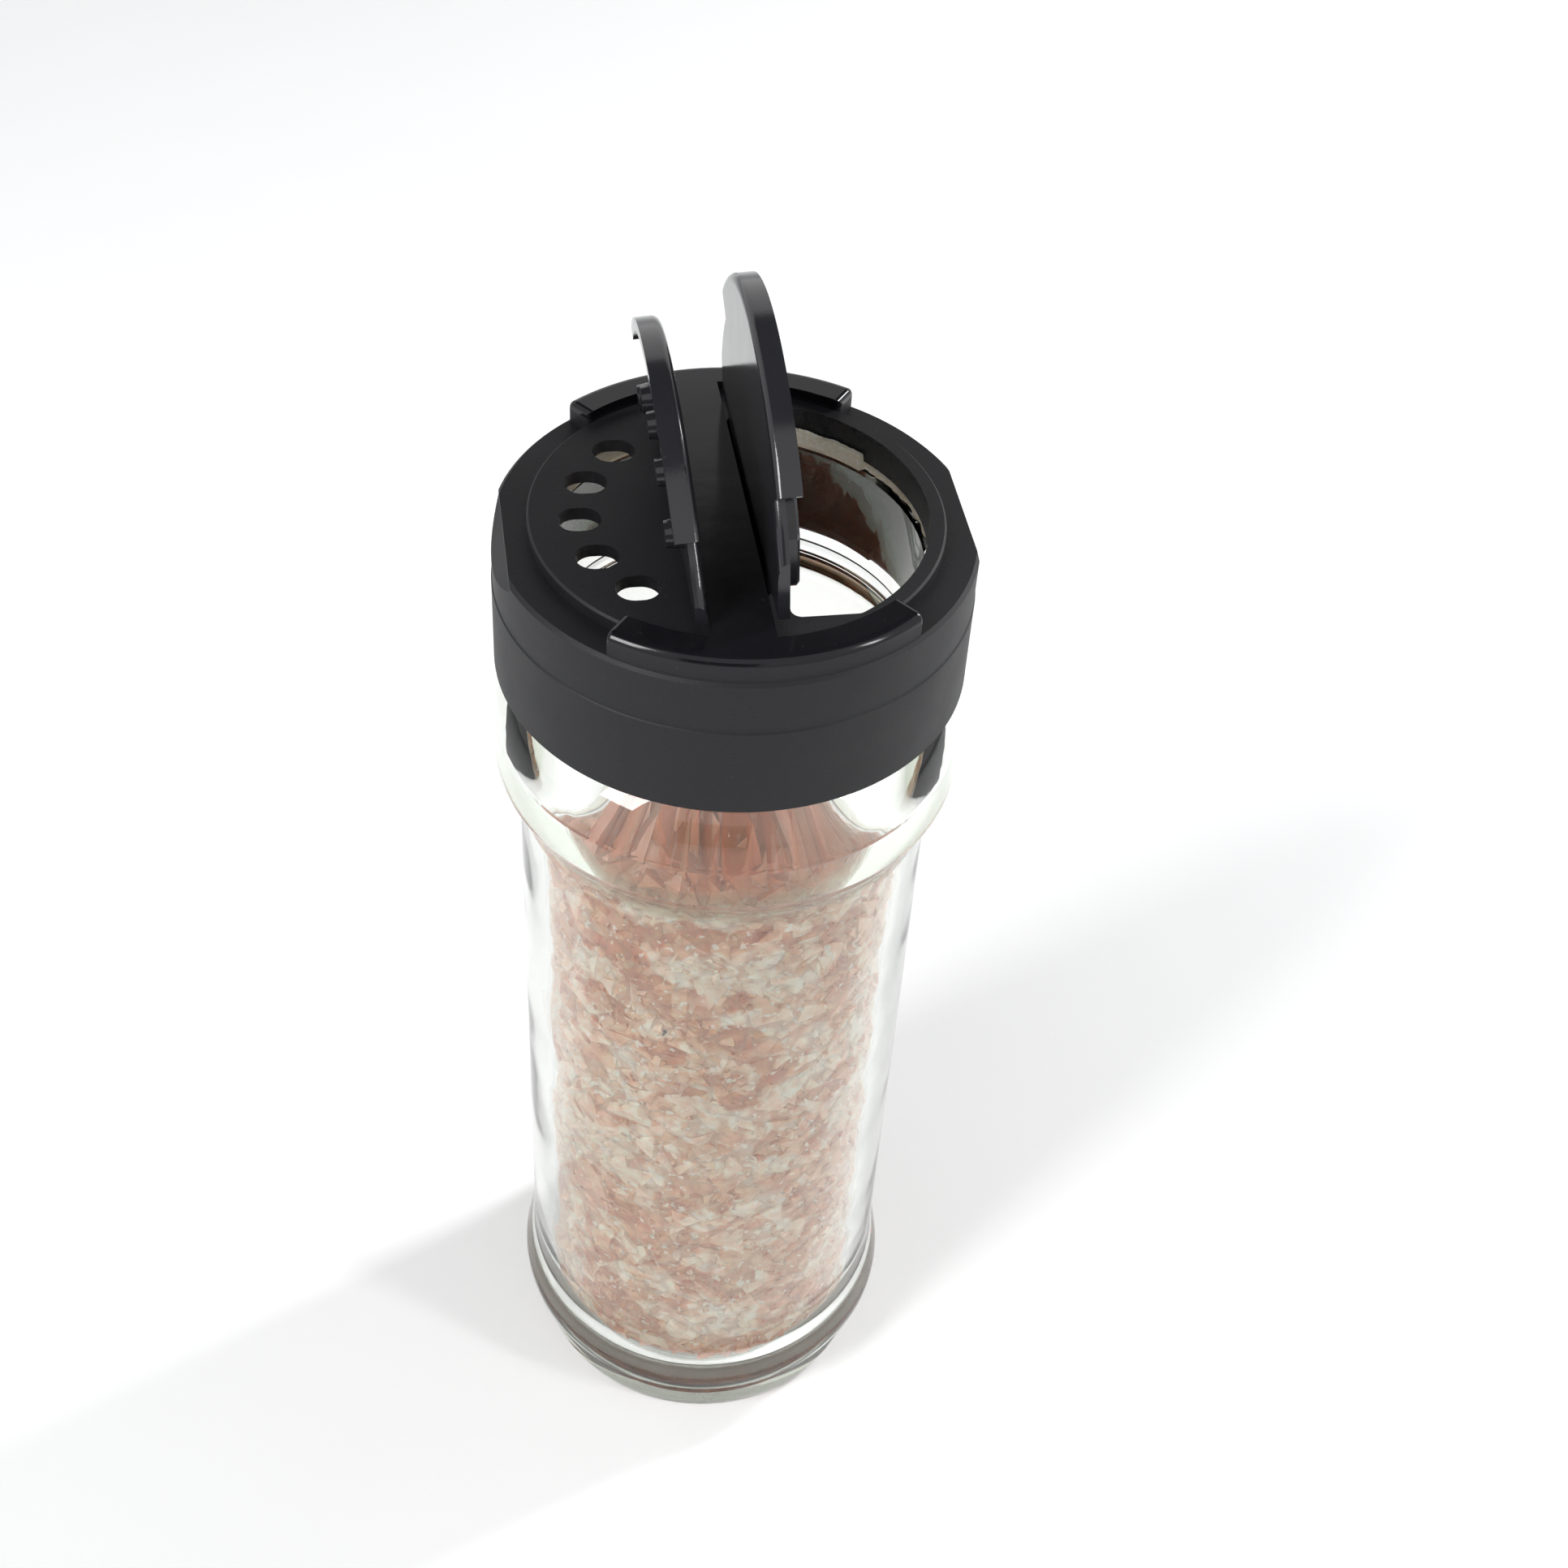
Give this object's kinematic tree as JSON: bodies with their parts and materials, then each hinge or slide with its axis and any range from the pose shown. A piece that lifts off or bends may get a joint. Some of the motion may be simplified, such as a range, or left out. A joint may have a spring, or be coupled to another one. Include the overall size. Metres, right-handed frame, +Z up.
{
  "type": "spice shaker jar",
  "caption": "Round glass spice jar with a black screw cap: one flap covers sifter holes, the other covers a spoon opening.",
  "frame": {"origin": "centre of the jar's foot, on the table", "axes": "+Z up along the jar's axis; the flap hinges run along Y; the spoon opening is at +X and the sifter holes at -X"},
  "size_m": [0.0458, 0.0458, 0.1434],
  "materials": {
    "clear_glass": "clear, smooth, faintly green at the edges",
    "pink_salt": "coarse translucent crystals",
    "cream_seal": "matt cream",
    "black_cap": "satin moulded",
    "black_flap": "polished outer face"
  },
  "bodies": {
    "jar": {"glass_jar": "clear_glass", "salt_fill": "pink_salt"},
    "seal": {"rim_seal": "cream_seal"},
    "cap": {"cap_body": "black_cap", "sifter_hinge_web": "black_cap", "spoon_hinge_web": "black_cap"},
    "sifter_lid": {"sifter_flap": "black_flap"},
    "spoon_lid": {"spoon_flap": "black_flap"}
  },
  "joints": [
    {"name": "cap_rise", "type": "slide", "parent": "jar", "child": "seal", "axis": [0, 0, 1], "range_m": [0, 0.00841]},
    {"name": "cap_turn", "type": "hinge", "parent": "seal", "child": "cap", "pos_m": [0, 0, 0.1189], "axis": [0, 0, 1], "range_deg": [0, 720]},
    {"name": "sifter_flap_swing", "type": "hinge", "parent": "cap", "child": "sifter_lid", "pos_m": [-0.0052, 0, 0.123], "axis": [0, 1, 0], "range_deg": [-85, 13], "deforming": ["sifter_hinge_web"]},
    {"name": "spoon_flap_swing", "type": "hinge", "parent": "cap", "child": "spoon_lid", "pos_m": [0.0012, 0, 0.123], "axis": [0, -1, 0], "range_deg": [-93, 8], "deforming": ["spoon_hinge_web"]}
  ],
  "couplings": [
    {"joint": "cap_rise", "follows": "cap_turn", "m_per_rad": 0.00066845}
  ]
}
